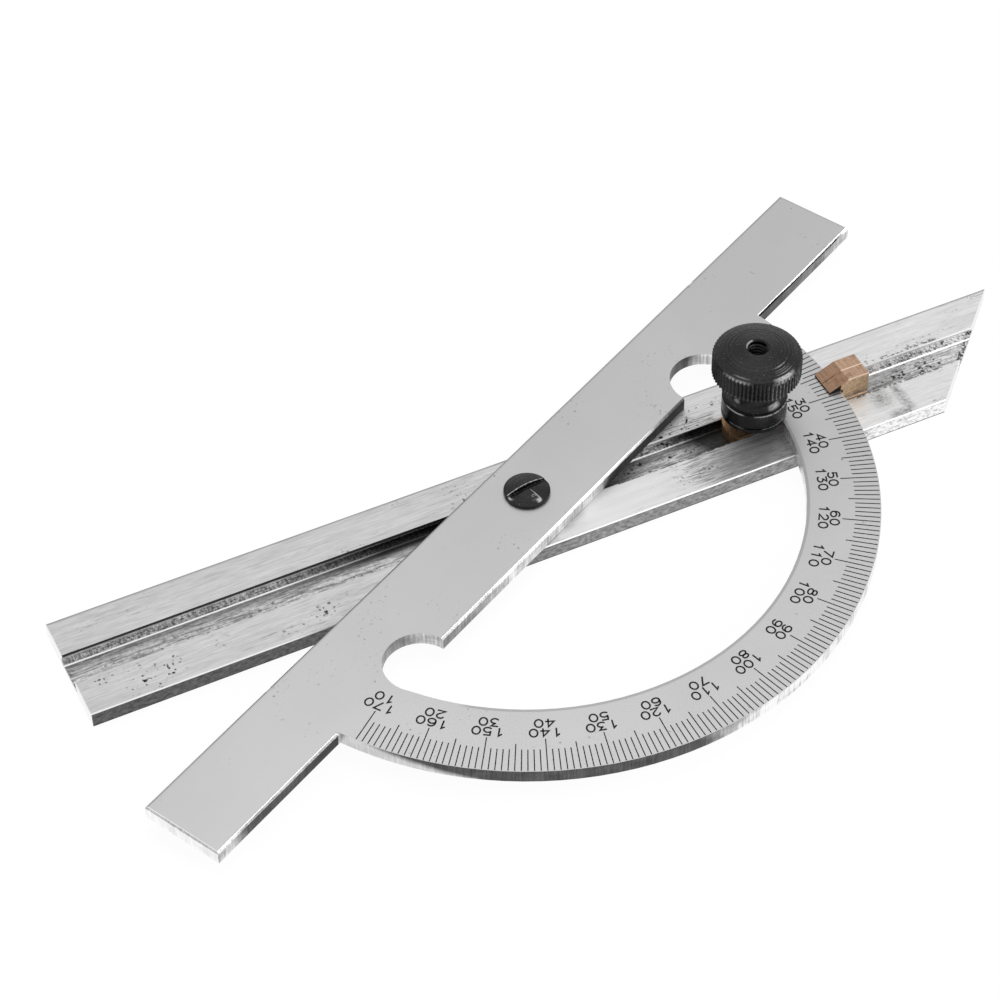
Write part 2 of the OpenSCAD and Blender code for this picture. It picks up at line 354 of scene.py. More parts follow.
class RailFinish(Finish):
    """Drawn steel, brushed along its length, pitted and stained, with painted shade on its front side,
    painted light on its ends, and painted highlights and shade on its bevels and lips.

    The light painted into its colour changes along the rail: behind the plate's bar, in the window and past
    the arc.
    """

    def __init__(self):
        super().__init__("rail_steel")
        self.past_arc = self.remap(self.x, 56, 66)
        self.past_pivot = self.remap(self.x, -8, 8)
        self.windowed = self.math("SUBTRACT", self.past_pivot, self.past_arc)
        self.flat = self.remap(self.nz, 0.9, 0.97)
        self.in_groove = self.between(self.y, -4.1, 4.1, 0.1)
        self.low = self.all_of(self.in_groove, self.remap(self.z, 1.5, 1.2))
        self.hair = self.noise((4, 0.26, 0.26), detail=4, rough=0.66)
        self.streak = self.noise((30, 0.9, 0.9), rough=0.6, offset=(3, 7, 1))

    def lands(self):
        """The flat faces on both sides of the groove, lighter past the arc and in the window by painted
        light, with painted shade on the front land beside the arc and a painted dark line along the back
        edge.
        """
        satin = self.all_of(self.windowed, self.remap(self.y, -2.6, -3.2), self.remap(self.x, 36, 24))
        cloud = self.noise((14, 5, 5), offset=(9, 2, 4))
        tone = self.total(
            self.remap(satin, 0, 1.4, self.spread(self.hair, 0.86, 1.1), 0.97),
            self.spread(self.streak, -0.06, 0.05),
            self.spread(cloud, -0.04, 0.04, WIDE),
            # painted light: lighter past the arc and in the window
            self.all_of(self.past_arc, 0.44),
            self.all_of(self.windowed, self.remap(self.y, -2, -3, 0.2, 0.38)),
            self.all_of(satin, -0.08))
        colour = self.shade(srgb(200), tone)
        # painted shade on the front land beside the arc
        by_arc = self.all_of(
            self.remap(self.x, 28, 46), self.remap(self.x, 60, 50), self.remap(self.y, -2.4, -3.2))
        colour = self.darken(colour, by_arc, 0.82)
        # painted shade: a dark line along the back edge
        back_edge = self.all_of(self.remap(self.y, 10.1, 10.35), self.flat, 0.6)
        return self.mix(back_edge, colour, srgb(120))

    def groove(self, colour):
        """The groove's floor, its bright strip and step, and its leaning flanks, with painted shadow on the
        floor towards the back flank and beside the slide's block, painted light past the arc and in the
        window, the strip painted bright against the shade under the back lip, and painted highlights along
        the step and the flank's top edge.
        """
        # painted shadow: the floor darkens towards the back flank; painted light: lighter past the arc and
        # in the window
        floor_tone = self.most_of(self.remap(self.y, 0.4, 2.3, 1.0, 0.62), self.all_of(self.past_arc, 0.95))
        floor_tone = self.all_of(floor_tone, self.remap(self.windowed, 0, 1, 1.0, 1.08))
        floor_colour = self.mix(self.past_arc, srgb(206), srgb(250))
        colour = self.mix(self.low, colour, self.shade(floor_colour, floor_tone))
        # painted shade on the floor beside the slide's block
        beside_block = self.all_of(
            self.low, self.remap(self.x, 85, 65), self.remap(self.x, 60, 62),
            self.remap(self.y, 1.6, -3.2, 0.55, 1.0))
        colour = self.darken(colour, beside_block, 0.24)
        mealy = self.noise((0.7, 0.55, 0.55), detail=4, rough=0.7, offset=(2, 2, 6))
        colour = self.mix(self.low, colour, self.shade(colour, self.spread(mealy, 0.74, 1.2)))

        ribs = self.noise((0.5, 0.8, 0.8), rough=0.75, offset=(5, 5, 5))
        # the strip under the back lip is painted bright against its shade, and brighter past the arc by
        # painted light
        strip = self.all_of(self.low, self.remap(self.y, 2.5, 2.6))
        strip_tone = self.all_of(
            self.spread(ribs, 0.25, 1.35, 0.12), self.remap(self.past_arc, 0, 1, 0.9, 1.3))
        colour = self.mix(strip, colour, self.shade(srgb(253), strip_tone))
        # the flank: a painted highlight along its top, and painted shade below it that turns to painted
        # light past the arc
        flank = self.between(self.nz, -0.62, -0.38, 0.08)
        upper = self.mix(self.past_arc, self.shade(srgb(92), self.spread(ribs, 0.3, 1.6)), srgb(214))
        colour = self.mix(flank, colour, self.mix(self.remap(self.z, 2.1, 2.4), srgb(252), upper))
        # painted highlight: a bright line along the step
        step = self.all_of(
            self.between(self.y, 2.46, 2.64, 0.03), self.remap(self.z, 0.96, 0.92),
            self.remap(self.x, 88, 84), self.most_of(self.remap(self.x, 34, 31), self.past_arc),
            self.remap(self.windowed, 0, 1, 1.0, 0.5))
        return self.mix(step, colour, srgb(250))

    def stains(self, colour):
        """Painted shadow in the groove beside the plate's bar, beside the slide's foot and in a corner just
        past the pivot.
        """
        behind_bar = self.all_of(
            self.low, self.remap(self.x, -46, -26), self.remap(self.x, 2, -9), self.remap(self.y, 0.6, 2.0))
        leaning = self.total(self.x, self.all_of(self.y, 0.5))
        by_foot = self.all_of(
            self.in_groove, self.remap(self.z, 2.6, 2.4), self.remap(self.x, 48, 42),
            self.remap(leaning, 29.5, 35))
        corner = self.all_of(self.low, self.between(self.x, 4, 16, 5), self.remap(self.y, 0, -2))
        return self.darken(colour, self.most_of(behind_bar, by_foot, corner), 0.1)

    def bevels(self, colour):
        """The rail's broken edges and the groove's lips, with painted highlights and shade: the top edges
        bright above a dark band, the back lip dark behind the pivot and bright past it, the front lip light
        behind the pivot and dark past it.
        """
        bevel = self.between(self.nz, 0.45, 0.9, 0.05)
        back_lip = self.without(self.all_of(bevel, self.between(self.y, 2.5, 3.2, 0.1)), self.low)
        front_lip = self.without(self.all_of(bevel, self.between(self.y, -3.2, -2.5, 0.1)), self.low)
        outer_edge = self.without(bevel, self.most_of(back_lip, front_lip, self.low))
        # painted highlight on the upper part of the top edges, painted shade below it
        colour = self.mix(outer_edge, colour, self.mix(self.remap(self.z, 2.84, 2.8), srgb(252), srgb(84)))
        # painted shade on the back lip behind the pivot, painted highlight past it
        colour = self.mix(back_lip, colour, self.mix(self.past_pivot, srgb(46), srgb(246)))
        # the front lip: light behind the pivot, painted shade past it
        return self.mix(front_lip, colour, self.mix(self.past_pivot, srgb(176), srgb(60)))

    def sides(self, colour):
        """The front side and the two ends, with a dark foot; the front side has painted shade, lighter
        towards the window and bright past the arc by painted light, and the ends are painted bright.
        """
        side = self.between(self.nz, -0.2, 0.3, 0.05)
        mottled = self.noise((1.1, 0.6, 0.6), detail=5, rough=0.72, offset=(1, 4, 8))
        # painted shade on the front side, lighter towards the window, and painted light past the arc
        front_colour = self.mix(self.remap(self.x, -30, 8), srgb(98), srgb(152))
        front_colour = self.mix(self.remap(self.x, 57, 63), front_colour, srgb(246))
        front_colour = self.shade(front_colour, self.spread(mottled, 0.52, 1.45, 0.14))
        front_colour = self.mix(self.remap(self.z, 0.22, 0.1), front_colour, srgb(60))
        colour = self.mix(self.all_of(side, self.remap(self.ny, -0.8, -0.95)), colour, front_colour)
        foot = self.all_of(self.remap(self.z, 0.25, 0.1), self.remap(mottled, 0.45, 0.5))
        # painted light: the ends are bright, above a dark foot
        ends = self.all_of(side, self.remap(self.math("ABSOLUTE", self.nx), 0.6, 0.7))
        return self.mix(ends, colour, self.mix(foot, srgb(250), srgb(70)))

    def worn_lines(self):
        """Ragged dark lines along the cut end and along the groove's lips."""
        ragged = self.noise((0.7, 0.7, 0.7), rough=0.7, offset=(7, 7, 2))
        cut_end = self.between(self.math("SUBTRACT", self.x, self.y), 86.4, 88.2, 0.8)
        below_lip = self.all_of(self.low, self.patch(75, 78, 2.6, 3.2, 0.6))
        return self.most_of(
            self.all_of(self.low, cut_end, self.remap(ragged, 0.46, 0.54)),
            self.all_of(self.patch(72, 83, 3.2, 3.5, 0.5), self.remap(ragged, 0.48, 0.58, 0.0, 0.8)),
            self.all_of(self.patch(63, 80, -3.3, -2.5, 0.35), self.remap(ragged, 0.42, 0.52, 0.0, 0.8)),
            self.all_of(self.patch(16, 42, -3.22, -2.9, 0.12), self.remap(ragged, 0.4, 0.5, 0.2, 0.9)),
            self.all_of(below_lip, self.remap(ragged, 0.48, 0.56, 0.0, 0.9)))

    def dirt(self):
        """The share of scratches, pits, holes, ragged dark lines and smears on the flat faces."""
        wear = self.noise((18, 6, 6), detail=2, offset=(2, 6, 3))
        fine = self.noise((0.55, 0.4, 0.4), rough=0.65, offset=(8, 1, 2))
        scratch = self.noise((4.5, 0.3, 0.3), rough=0.7, offset=(4, 9, 6))
        scarred = self.most_of(
            self.patch(6, 38, 3.0, 4.6, 1.2), self.patch(30, 58, -10, -3, 5), self.all_of(self.low, 0.9))
        scratched = self.all_of(
            self.remap(self.total(scratch, self.all_of(scarred, 0.12)), 0.58, 0.7),
            self.most_of(self.remap(wear, 0.42, 0.58), scarred), 0.55)
        pitted = self.most_of(
            self.patch(-75, -67, -9, -5.5, 2.0), self.patch(70, 86, -1.5, 3.6, 2.0),
            self.patch(8, 36, -1.5, 2.4, 2.0),
            self.all_of(self.low, self.remap(self.y, 1.2, 0.4), self.remap(self.x, -10, 10, 0.55, 1.0)),
            self.remap(wear, 0.56, 0.66))
        small_pits = self.specks(0.8, 0.19, ragged=0.9)
        large_pits = self.specks(1.5, 0.34, offset=(3, 1, 0), ragged=0.9)
        uneven = self.remap(self.noise((3, 2, 2), offset=(1, 1, 1)), 0.42, 0.52)
        pits = self.all_of(self.most_of(small_pits, large_pits), pitted, uneven)
        holes = self.specks(1.0, 0.4, offset=(2, 5, 0), ragged=0.9)
        holes = self.all_of(holes, self.patch(72, 82, -1.2, 1.0, 1.0))
        smeared = self.most_of(
            self.patch(70.2, 70.4, -9.6, -4, 1.3), self.patch(66.4, 67.0, -6, -4.5, 2.2),
            self.patch(67, 70, -10, -9.8, 1.5))
        smears = self.all_of(smeared, self.remap(fine, 0.3, 0.62), 0.6)
        grime = self.all_of(self.remap(fine, 0.66, 0.72), pitted)
        dirt = self.most_of(scratched, pits, holes, self.worn_lines(), smears, grime)
        return self.math("MULTIPLY", dirt, self.flat, clamp=True)


def rail_finish():
    """The rail's material, laid on from the flat faces to the dirt."""
    f = RailFinish()
    colour = f.lands()
    for layer in (f.groove, f.stains, f.bevels, f.sides):
        colour = layer(colour)
    dirt = f.dirt()
    colour = f.mix(dirt, colour, srgb(44))
    normal = f.bump(f.math("SUBTRACT", f.all_of(f.hair, 0.5), dirt), 0.02, 0.5)
    roughness = f.total(f.spread(f.streak, 0.42, 0.54, WIDE), f.all_of(dirt, 0.3))
    dull = f.all_of(f.past_arc, f.flat, 0.45)
    metallic = f.math("SUBTRACT", f.remap(dirt, 0, 1, 1.0, 0.3), dull, clamp=True)
    return f.finish(colour, roughness, metallic, normal)


def plate_side_colour(f, lines, facing, reading, round_side):
    """The plate's sides, light and dark in turn along the bar and round the arc by painted light and shade,
    with the ends painted bright and the sides that face away painted dark.
    """
    slant = f.total(reading, f.all_of(f.z, -6.0))
    # painted light and shade round the arc's side
    around = f.mix(f.remap(slant, 137, 130), srgb(214), srgb(86))
    around = f.mix(f.remap(reading, 116, 104), around, srgb(252))
    # painted light and shade along the bar's sides, stretch by stretch
    stretches = (
        (f.remap(f.x, -82, -86), 206), (f.between(f.x, -64, -56, 8), 50), (f.remap(f.x, -56, -50), 150),
        (f.between(f.x, -14, 6, 12), 226), (f.remap(f.x, 9, 14), 84), (f.remap(f.x, 66, 78), 132),
        (f.remap(f.x, 80, 86), 206))
    along = srgb(78)
    for share, level in stretches:
        along = f.mix(share, along, srgb(level))
    colour = f.mix(f.remap(f.ny, -0.6, -0.9), srgb(190), along)
    # painted light on sides past the pivot that don't face front, and painted shade on those that face away
    nose_end = f.all_of(f.remap(f.x, 20, 24), f.remap(f.ny, -0.9, -0.6))
    colour = f.mix(nose_end, colour, srgb(240))
    colour = f.mix(f.remap(facing, 0.0, -0.3), colour, srgb(110))
    colour = f.mix(round_side, colour, around)
    # painted light: the tail end is bright
    tail_end = f.all_of(f.remap(f.nx, -0.8, -0.95), f.remap(f.x, -88, -88.5))
    colour = f.mix(tail_end, colour, srgb(250))
    blotch = f.noise((4, 4, 2), offset=(6, 1, 7))
    tone = f.all_of(f.spread(lines, 0.65, 1.3), f.spread(blotch, 0.75, 1.25, 0.15))
    calm = f.most_of(tail_end, f.all_of(round_side, f.remap(slant, 130, 137)))
    return f.shade(colour, f.remap(calm, 0, 1.5, tone, 0.98))


def plate_finish():
    """Satin ground steel with faint specks and milled sides, with painted light and shade on the sides and
    bevels and painted shade along the far edges.
    """
    f = Finish("plate_steel", turn=READING)
    radius = f.radius()
    reading = f.all_of(f.direction(), -1.0)
    flat = f.remap(f.nz, 0.9, 0.97)
    facing = f.total(f.all_of(f.nx, -0.79), f.all_of(f.ny, -0.61))
    cloud = f.noise((26, 20, 20))
    grain = f.noise((0.35, 0.35, 0.35), rough=0.6)
    tone = f.total(f.spread(cloud, 0.965, 1.03, WIDE), f.spread(grain, -0.02, 0.02, WIDE))
    colour = f.shade(srgb(188), f.all_of(tone, f.remap(f.x, -89, 89, 0.99, 1.07)))

    patches = f.noise((9, 9, 9), detail=2, offset=(4, 4, 4))
    marks = f.noise((0.6, 0.6, 0.6), detail=2, offset=(7, 3, 9))
    spots = f.most_of(
        f.all_of(f.specks(1.5, 0.2), f.remap(patches, 0.54, 0.62)),
        f.all_of(f.remap(marks, 0.64, 0.72), f.remap(patches, 0.56, 0.66), 0.7))
    spots = f.all_of(spots, flat)
    colour = f.mix(f.all_of(spots, 0.5), colour, srgb(84))
    # painted shade: a dark line along the bar's back edge, its far end and the window's inner edge
    far_rim = f.most_of(
        f.remap(f.y, 6.85, 7.1), f.remap(f.x, 88.35, 88.6),
        f.all_of(f.between(radius, 47.0, 47.95, 0.1), f.remap(f.y, -19, -21)))
    colour = f.mix(f.all_of(far_rim, flat, 0.4), colour, srgb(120))

    side = f.between(f.nz, -0.3, 0.3, 0.05)
    round_side = f.between(radius, 59.4, 60.3, 0.2)
    lines = f.noise((0.4, 0.4, 5), detail=4, rough=0.65, offset=(2, 8, 5))
    side_colour = plate_side_colour(f, lines, facing, reading, round_side)
    by_pivot = f.between(f.x, 12, 34, 2)
    lit_edge = f.all_of(by_pivot, f.remap(f.z, 5.32, 5.36), f.remap(f.ny, -0.6, -0.9), 0.8)
    colour = f.mix(side, colour, f.mix(lit_edge, side_colour, srgb(245)))

    # painted highlights and shade on the bevels: bright where they face front and left, darker elsewhere
    bright = f.mix(f.remap(facing, -0.2, 0.1), srgb(120), srgb(252))
    bright = f.mix(f.all_of(round_side, f.remap(reading, 106, 114)), bright, srgb(110))
    raised = f.total(f.z, f.all_of(by_pivot, 0.05))
    bevel_colour = f.mix(f.remap(raised, 5.5, 5.46), bright, side_colour)
    # painted shade on the bar's right front bevel, below a thin painted highlight
    lit_depth = f.remap(f.between(f.x, 70, 83, 4), 0, 1, 0.06, 0.17)
    ground = f.all_of(
        f.remap(f.x, 52, 56), f.remap(f.x, 88, 85), f.remap(f.ny, -0.5, -0.65),
        f.remap(f.total(f.z, lit_depth), 5.55, 5.51))
    bevel_colour = f.mix(ground, bevel_colour, srgb(26))
    colour = f.mix(f.between(f.nz, 0.45, 0.9, 0.05), colour, bevel_colour)

    height = f.total(f.all_of(lines, side), f.all_of(grain, 0.15))
    normal = f.bump(f.math("SUBTRACT", height, spots), 0.02, 0.5)
    return f.finish(colour, f.spread(grain, 0.36, 0.44, WIDE), 1.0, normal)


def black_finish(name, centre, ring_pitch, ring_highlights=(), gleams=(), crest=None, slot=None):
    """Black oxide on turned steel, with fine rings round the centre, and painted highlights: ring
    highlights and gleams.

    A ring highlight has a radius and a height, and reaches half to each side of its middle direction. A
    gleam reaches as far, and has an inner and an outer radius, a lowest and a highest height, and its
    share. The crest is the radius past which the knurl's lit teeth get a painted highlight and inside which
    the upright faces get painted shade, and the slot is the screw slot's direction and half width; its far
    edge gets a painted highlight.
    """
    f = Finish(name, centre=centre)
    radius = f.radius()
    direction = f.direction()
    height = f.math("SUBTRACT", f.z, PLATE_TOP / MM)
    turned = f.add("ShaderNodeTexNoise", noise_dimensions="1D")
    f.feed(turned.inputs["W"], f.math("DIVIDE", radius, ring_pitch))
    turned.inputs["Scale"].default_value = 1.0
    turned.inputs["Detail"].default_value = 3.0
    rings = f.spread(turned.outputs[0], 0.0, 1.0, 0.12)
    mottled = f.noise((0.5, 0.5, 0.5), detail=4, rough=0.65)
    broken = f.noise((0.6, 0.6, 0.6), rough=0.7, offset=(6, 2, 4))
    flat = f.remap(f.nz, 0.3, 0.8)
    ring_tone = f.total(f.all_of(rings, flat, 1.1), f.remap(flat, 0, 1, 0.8, 0.6))
    colour = f.shade(srgb(27, 27, 28), f.all_of(f.spread(mottled, 0.5, 1.6, WIDE), ring_tone))
    nicks = f.all_of(f.specks(0.5, 0.1, ragged=0.8), f.remap(mottled, 0.44, 0.54))
    colour = f.mix(nicks, colour, srgb(120))

    if crest is not None:
        # painted shade: upright faces inside the crest, the knurl's valleys and also the neck and the
        # collar, are darkened
        upright = f.remap(flat, 0.2, 0.0)
        valley = f.all_of(upright, f.remap(radius, crest, crest - 0.25))
        colour = f.darken(colour, valley, 0.2)
        # painted highlights on the crests of the teeth on the lit side
        lit = f.most_of(f.between(direction, -96, -52, 12), 0.1)
        tooth_highlight = f.all_of(
            f.remap(radius, crest, crest + 0.08), upright, lit, f.remap(broken, 0.4, 0.6, 0.2, 0.9))
        colour = f.mix(tooth_highlight, colour, srgb(165))
    for ring in ring_highlights:
        # painted highlight: a bright broken line round the ring
        ring_shine = f.all_of(
            f.between(radius, ring.radius - 0.08, ring.radius + 0.08, 0.08),
            f.between(height, ring.height - 0.08, ring.height + 0.08, 0.08),
            f.between(direction, ring.middle - ring.half, ring.middle + ring.half, 10),
            f.remap(broken, 0.36, 0.5), 0.85)
        colour = f.mix(ring_shine, colour, srgb(200))
    for gleam in gleams:
        narrow = gleam.outer - gleam.inner < 0.8 or gleam.half < 4
        solid = 1.0 if narrow else 0.0
        shine = f.all_of(
            f.between(direction, gleam.middle - gleam.half / 2, gleam.middle + gleam.half / 2, gleam.half),
            f.between(radius, gleam.inner, gleam.outer, 0.15),
            f.between(height, gleam.low, gleam.high, 0.35),
            f.most_of(f.remap(rings, 0.62, 0.92), f.remap(flat, 0.5, 0.0), solid),
            f.remap(broken, 0.32, 0.46, 0.3 * solid, 1.0), gleam.share)
        colour = f.mix(shine, colour, srgb(225))
    if slot is not None:
        angle, half = math.radians(slot[0]), slot[1]
        across = f.math("SUBTRACT", f.all_of(f.y, math.cos(angle)), f.all_of(f.x, math.sin(angle)))
        # painted highlight along the slot's far edge
        rim = f.all_of(
            f.between(across, half, half + 0.14, 0.06), f.remap(radius, 3.75, 3.6), flat,
            f.remap(broken, 0.4, 0.5, 0.15, 0.95))
        colour = f.mix(rim, colour, srgb(225))

    normal = f.bump(mottled, 0.012, 0.5, under=f.bump(f.all_of(rings, flat), 0.05, 0.8))
    roughness = f.spread(mottled, 0.2, 0.34, WIDE)
    return f.finish(colour, roughness, 0.0, normal, **{"Specular IOR Level": 0.26})


def slide_finish():
    """Milled brass gone brown, stained dark in places, with tool lines across; painted shade on the
    tongue's front and tip, painted light and shade across the boss, and painted highlights along the
    block's front top edge and foot.
    """
    f = Finish("slide_brass")
    lines = f.noise((0.3, 5, 0.6), rough=0.65)
    cross = f.noise((1.6, 0.25, 0.25), rough=0.6, offset=(1, 7, 3))
    stain = f.noise((1.4, 1.1, 1.1), rough=0.6, offset=(3, 3, 3))
    shadow = srgb(40, 30, 24)
    ridge = f.remap(f.x, 61.3, 61.5)
    brown = f.mix(ridge, srgb(160, 129, 106), srgb(186, 155, 131))
    colour = f.shade(brown, f.all_of(f.spread(lines, 0.78, 1.16), f.spread(cross, 0.93, 1.06)))
    colour = f.mix(f.remap(stain, 0.52, 0.7, 0.0, 0.5), colour, srgb(104, 76, 58))

    front = f.remap(f.ny, -0.6, -0.9)
    speckled = f.noise((0.4, 0.4, 0.4), rough=0.7, offset=(5, 2, 8))
    side_colour = f.shade(srgb(196, 168, 137), f.spread(speckled, 0.7, 1.2))
    # painted shade on the tongue's front
    colour = f.mix(front, colour, f.mix(f.remap(f.x, 59.9, 60.1), shadow, side_colour))
    # painted shade on the faces that look back towards the pivot, past the boss
    colour = f.mix(f.all_of(f.remap(f.nx, -0.6, -0.9), f.remap(f.x, 50, 52)), colour, shadow)
    upright = f.noise((0.35, 0.35, 3), rough=0.6, offset=(6, 6, 1))
    # painted light and shade across the boss: lighter where it faces sideways, darker where it faces front
    boss_colour = f.mix(f.remap(f.ny, -0.35, -0.9), srgb(196, 158, 120), srgb(146, 108, 76))
    colour = f.mix(f.remap(f.x, 51, 49), colour, f.shade(boss_colour, f.spread(upright, 0.7, 1.3)))
    # painted highlight: a bright line along the foot of the block's front
    foot_highlight = f.all_of(front, f.remap(f.x, 60, 60.2), f.between(f.z, 3.0, 3.4, 0.05))
    colour = f.mix(foot_highlight, colour, srgb(250))
    # painted highlight along the block's front top edge; the same bright colour draws a line along the
    # middle of the block's top
    front_edge = f.all_of(f.remap(f.z, 7.3, 7.4), f.remap(f.y, -2.42, -2.5))
    index_line = f.all_of(f.between(f.y, -0.08, 0.08, 0.06), f.remap(f.z, 7.3, 7.5))
    colour = f.mix(f.all_of(f.most_of(front_edge, index_line), ridge, 0.85), colour, srgb(246, 222, 200))
    return f.finish(colour, f.spread(stain, 0.34, 0.5, WIDE), 1.0, f.bump(lines, 0.03, 0.5))


def ink_finish():
    """Matte black filling of the engraved scale, with a little wear."""
    f = Finish("scale_ink")
    wear = f.noise((0.5, 0.5, 0.5), rough=0.6)
    colour = f.mix(f.remap(wear, 0.45, 0.75), srgb(22), srgb(52))
    roughness = f.spread(wear, 0.5, 0.7, WIDE)
    return f.finish(colour, roughness, 0.0, f.bump(wear, 0.01, 0.3), **{"Specular IOR Level": 0.25})


def new_piece(name, mesh, material, body):
    """Adds a mesh as a piece that rides on a body of the part and fills a material slot."""
    mesh.materials.append(material)
    piece = bpy.data.objects.new(name, mesh)
    bpy.context.scene.collection.objects.link(piece)
    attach(piece, body)
    return piece


def finished_mesh(name, bm):
    """A mesh of the built faces, all turned outwards."""
    bmesh.ops.recalc_face_normals(bm, faces=bm.faces)
    mesh = bpy.data.meshes.new(name)
    bm.to_mesh(mesh)
    bm.free()
    return mesh


def rail_outline():
    """The rail's section as (y, z) points, from the back bottom corner round over the groove."""
    back = [
        (RAIL_HALF, 0.0), (RAIL_HALF, RAIL_TOP - EDGE_BEVEL), (RAIL_HALF - EDGE_BEVEL, RAIL_TOP),
        (LIP_HALF + LIP_BEVEL, RAIL_TOP), (LIP_HALF + LIP_BEVEL / 2, RAIL_TOP - LIP_BEVEL),
        (FLOOR_HALF, FLOOR_Z), (RELIEF_HALF + STEP_SLOPE, FLOOR_Z),
        (RELIEF_HALF - STEP_SLOPE, FLOOR_Z - RELIEF_DEPTH),
    ]
    return back + [(-y, z) for y, z in reversed(back)]


def rail_bar(material):
    """The rail as one milled bar, with its ends' edges just broken."""
    bm = bmesh.new()
    outline = rail_outline()
    tail = [bm.verts.new((TAIL_X, y, z)) for y, z in outline]
    nose = [bm.verts.new((NOSE_X - (RAIL_HALF - y), y, z)) for y, z in outline]
    for i in range(len(outline)):
        k = (i + 1) % len(outline)
        bm.faces.new((tail[i], tail[k], nose[k], nose[i]))
    caps = [bm.faces.new(tail), bm.faces.new(nose)]
    edges = [e for cap in caps for e in cap.edges]
    bmesh.ops.bevel(bm, geom=edges, offset=END_BEVEL, segments=2, profile=0.5, affect="EDGES")
    piece = new_piece("rail_bar", finished_mesh("rail_bar", bm), material, "rail")
    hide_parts("rail_back_way", "rail_front_way", "rail_floor")
    return piece


def arc(cx, cy, rx, ry, start, end, steps=14):
    """Points along an ellipse, with angles in degrees anticlockwise from the right."""
    points = []
    for i in range(steps + 1):
        angle = math.radians(start + (end - start) * i / steps)
        points.append((cx + rx * math.cos(angle), cy + ry * math.sin(angle)))
    return points


def digit_strokes():
    """Single-stroke digits in mm, each as paths that say whether they close. The foot's middle is 0, 0."""
    w, h = DIGIT_HALF_WIDTH, DIGIT_HEIGHT
    return {
        "0": [(arc(0, h / 2, w, h / 2, 90, 450, 32), True)],
        "1": [([(-0.42, 1.16), (0, h), (0, 0)], False)],
        "2": [(arc(0, 1.06, 0.56, 0.46, 160, -35) + [(-0.62, 0), (0.62, 0)], False)],
        "3": [([(-0.52, h), (0.5, h), (-0.08, 0.94)], False), (arc(0, 0.47, w, 0.47, 98, -140), False)],
        "4": [([(0.3, 0), (0.3, h), (-0.64, 0.42), (0.66, 0.42)], False)],
        "5": [([(0.5, h), (-0.42, h), (-0.5, 0.8)], False), (arc(0, 0.48, w, 0.48, 138, -140), False)],
        "6": [(arc(0.02, 0.86, 0.64, 0.66, 52, 180) + arc(0, 0.48, 0.62, 0.48, 180, 540, 28), False)],
        "7": [([(-0.6, h), (0.6, h), (-0.3, 0)], False)],
        "8": [
            (arc(0, 1.17, 0.52, 0.35, -90, 270, 26), True), (arc(0, 0.42, 0.62, 0.42, 90, 450, 28), True)],
        "9": [(arc(-0.02, 0.66, 0.64, 0.66, 232, 360) + arc(0, 1.04, 0.62, 0.48, 0, 360, 28), False)],
    }


def scale_axes(degree):
    """Outward and clockwise directions at a degree of the scale, in the frame."""
    angle = math.radians(READING - degree)
    out = Vector((math.cos(angle), math.sin(angle), 0.0))
    along = Vector((math.sin(angle), -math.cos(angle), 0.0))
    return out, along


def add_prism(bm, corners):
    """Closes a flat outline into a thin prism from just under the plate's face to just above it."""
    low = [bm.verts.new((p.x, p.y, PLATE_TOP - INK_SUNK)) for p in corners]
    high = [bm.verts.new((p.x, p.y, PLATE_TOP + INK_PROUD)) for p in corners]
    bm.faces.new(high)
    bm.faces.new(list(reversed(low)))
    for i in range(len(corners)):
        k = (i + 1) % len(corners)
        bm.faces.new((low[i], low[k], high[k], high[i]))


def add_ring(bm, outer, inner):
    """Closes the band between two outlines of as many points into a thin ring."""
    levels = (PLATE_TOP - INK_SUNK, PLATE_TOP + INK_PROUD)
    loops = [[bm.verts.new((p.x, p.y, z)) for p in points] for points in (outer, inner) for z in levels]
    count = len(outer)
    for i in range(count):
        k = (i + 1) % count
        for a, b in ((0, 1), (1, 3), (3, 2), (2, 0)):
            bm.faces.new((loops[a][i], loops[a][k], loops[b][k], loops[b][i]))


def offset_sides(points, closed, half):
    """The two sides of a stroke of the given half width along points, mitred at the corners."""
    count = len(points)
    sides = ([], [])
    for i in range(count):
        before = points[(i - 1) % count] if closed or i > 0 else None
        after = points[(i + 1) % count] if closed or i < count - 1 else None
        arms = [(points[i] - before).normalized()] if before is not None else []
        if after is not None:
            arms.append((after - points[i]).normalized())
        normals = [Vector((-arm.y, arm.x, 0.0)) for arm in arms]
        middle = sum(normals, Vector()).normalized()
        reach = half / max(middle.dot(normals[0]), SHARPEST_MITRE)
        sides[0].append(points[i] + middle * reach)
        sides[1].append(points[i] - middle * reach)
    return sides


def round_end(centre, start, half, steps=6):
    """Points of a half circle about centre, from the side start round to the other side."""
    first = math.atan2(start.y - centre.y, start.x - centre.x)
    angles = [first + math.pi * i / steps for i in range(1, steps)]
    return [centre + Vector((math.cos(angle), math.sin(angle), 0)) * half for angle in angles]


def add_stroke(bm, points, closed, half):
    """Adds a stroke along points, as a ring if it closes and with round ends if not."""
    left, right = offset_sides(points, closed, half)
    if closed:
        add_ring(bm, left, right)
        return
    tail = round_end(points[0], left[0], half)
    head = round_end(points[-1], right[-1], half)
    add_prism(bm, right + head + list(reversed(left)) + tail)


def distinct(points, closed):
    """The points without those that repeat the one before."""
    kept = [points[0]]
    for p in points[1:]:
        if (p - kept[-1]).length > SAME_POINT:
            kept.append(p)
    if closed and (kept[0] - kept[-1]).length < SAME_POINT:
        kept.pop()
    return kept


